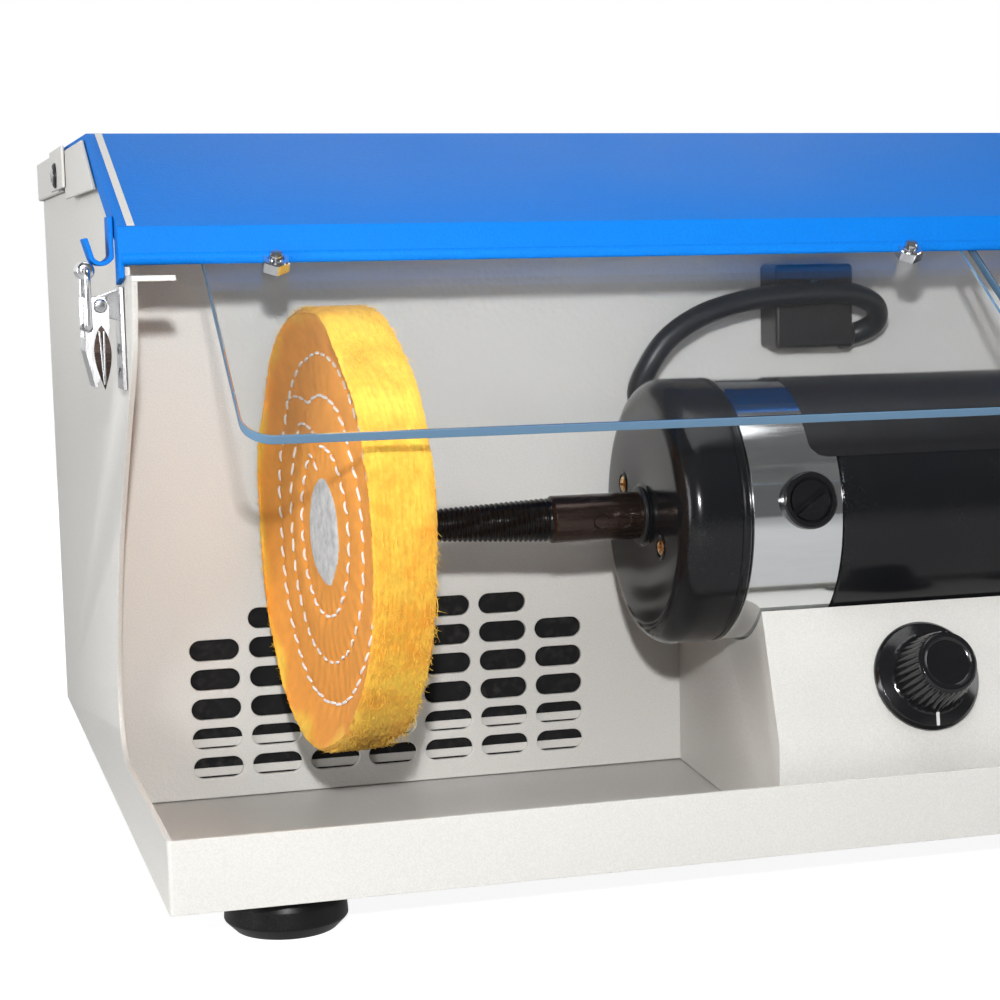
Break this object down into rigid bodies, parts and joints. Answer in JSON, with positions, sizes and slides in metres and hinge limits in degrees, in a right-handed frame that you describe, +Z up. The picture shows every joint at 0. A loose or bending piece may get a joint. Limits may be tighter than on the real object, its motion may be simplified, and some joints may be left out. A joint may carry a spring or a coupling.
{
  "type": "bench polishing machine",
  "caption": "Bench polishing lathe in a sheet metal extraction cabinet: double-ended motor with cloth buffs, hinged lid with clear shields, slotted wall and speed knob",
  "frame": {"origin": "On the bench plane, under the middle of the bounding box", "axes": "+Z up, +Y from the open front to the back, +X to the right as seen from the front"},
  "size_m": [0.522, 0.3526, 0.2222],
  "materials": {
    "cream": "cream white powder coat with a fine orange-peel texture",
    "blue": "bright blue gloss powder coat",
    "gloss": "gloss black",
    "black_paint": "gloss black enamel",
    "satin": "satin black",
    "polished": "mirror polished",
    "steel": "bright zinc plated",
    "dark_steel": "blackened, oiled",
    "rubber": "matte black",
    "cloth": "stitched orange cotton with a frayed edge",
    "clear": "clear acrylic with polished edges",
    "foam": "dark open filter foam",
    "board": "green circuit board",
    "lead": "satin black cable sheath"
  },
  "bodies": {
    "cabinet": {"base_pan": "cream", "left_side_panel": "cream", "right_side_panel": "cream", "grille_wall": "cream", "rear_panel": "cream", "rear_cover": "cream", "pedestal_housing": "cream", "hinge_rail": "cream", "left_filter_tray": "cream", "right_filter_tray": "cream", "left_brush_cap": "gloss", "right_brush_cap": "gloss", "left_motor_cap": "black_paint", "right_motor_cap": "black_paint", "motor_sleeve": "black_paint", "speed_potentiometer": "satin", "switch_frame": "satin", "lead_gland": "satin", "lead_block": "satin", "fan_frame": "satin", "power_inlet": "satin", "left_motor_ring": "polished", "right_motor_ring": "polished", "left_hinge_leaf_fixed": "steel", "right_hinge_leaf_fixed": "steel", "left_hinge_pin": "steel", "right_hinge_pin": "steel", "left_latch_base": "steel", "right_latch_base": "steel", "left_front_foot": "rubber", "right_front_foot": "rubber", "left_rear_foot": "rubber", "right_rear_foot": "rubber", "left_dust_filter": "foam", "right_dust_filter": "foam", "speed_board": "board", "motor_lead": "lead"},
    "rotor": {"motor_shaft": "steel", "left_spindle": "dark_steel", "right_spindle": "dark_steel", "left_buff": "cloth", "right_buff": "cloth"},
    "knob": {"speed_knob": "gloss"},
    "rocker": {"power_rocker": "gloss"},
    "lid": {"lid_shell": "blue", "left_shield": "clear", "right_shield": "clear", "left_latch_keeper": "blue", "right_latch_keeper": "blue", "left_hinge_leaf_moving": "steel", "right_hinge_leaf_moving": "steel"},
    "left_lever": {"left_latch_lever": "steel"},
    "right_lever": {"right_latch_lever": "steel"},
    "left_bail": {"left_latch_bail": "steel"},
    "right_bail": {"right_latch_bail": "steel"},
    "impeller": {"fan_impeller": "gloss"}
  },
  "joints": [
    {"name": "motor_spin", "type": "hinge", "parent": "cabinet", "child": "rotor", "pos_m": [0, -0.09892, 0.1043], "axis": [1, 0, 0], "continuous": true},
    {"name": "speed_turn", "type": "hinge", "parent": "cabinet", "child": "knob", "pos_m": [-0.025, -0.13699, 0.05629], "axis": [0, 0.9108, -0.4129], "range_deg": [0, 280]},
    {"name": "power_rock", "type": "hinge", "parent": "cabinet", "child": "rocker", "pos_m": [0.025, -0.13909, 0.05724], "axis": [1, 0, 0], "range_deg": [0, 18]},
    {"name": "lid_hinge", "type": "hinge", "parent": "cabinet", "child": "lid", "pos_m": [0, 0.05938, 0.21925], "axis": [-1, 0, 0], "range_deg": [0, 100]},
    {"name": "left_latch_swing", "type": "hinge", "parent": "cabinet", "child": "left_lever", "pos_m": [-0.2566, -0.10292, 0.17], "axis": [0, 1, 0], "range_deg": [0, 120]},
    {"name": "right_latch_swing", "type": "hinge", "parent": "cabinet", "child": "right_lever", "pos_m": [0.2566, -0.10292, 0.17], "axis": [0, -1, 0], "range_deg": [0, 120]},
    {"name": "left_bail_swing", "type": "hinge", "parent": "left_lever", "child": "left_bail", "pos_m": [-0.2598, -0.10292, 0.164], "axis": [0, 1, 0], "range_deg": [-120, 0]},
    {"name": "right_bail_swing", "type": "hinge", "parent": "right_lever", "child": "right_bail", "pos_m": [0.2598, -0.10292, 0.164], "axis": [0, -1, 0], "range_deg": [-120, 0]},
    {"name": "fan_spin", "type": "hinge", "parent": "cabinet", "child": "impeller", "pos_m": [0, 0.15358, 0.11], "axis": [0, 1, 0], "continuous": true}
  ],
  "couplings": [
    {"joint": "left_bail_swing", "follows": "left_latch_swing", "ratio": -1},
    {"joint": "right_bail_swing", "follows": "right_latch_swing", "ratio": -1}
  ]
}
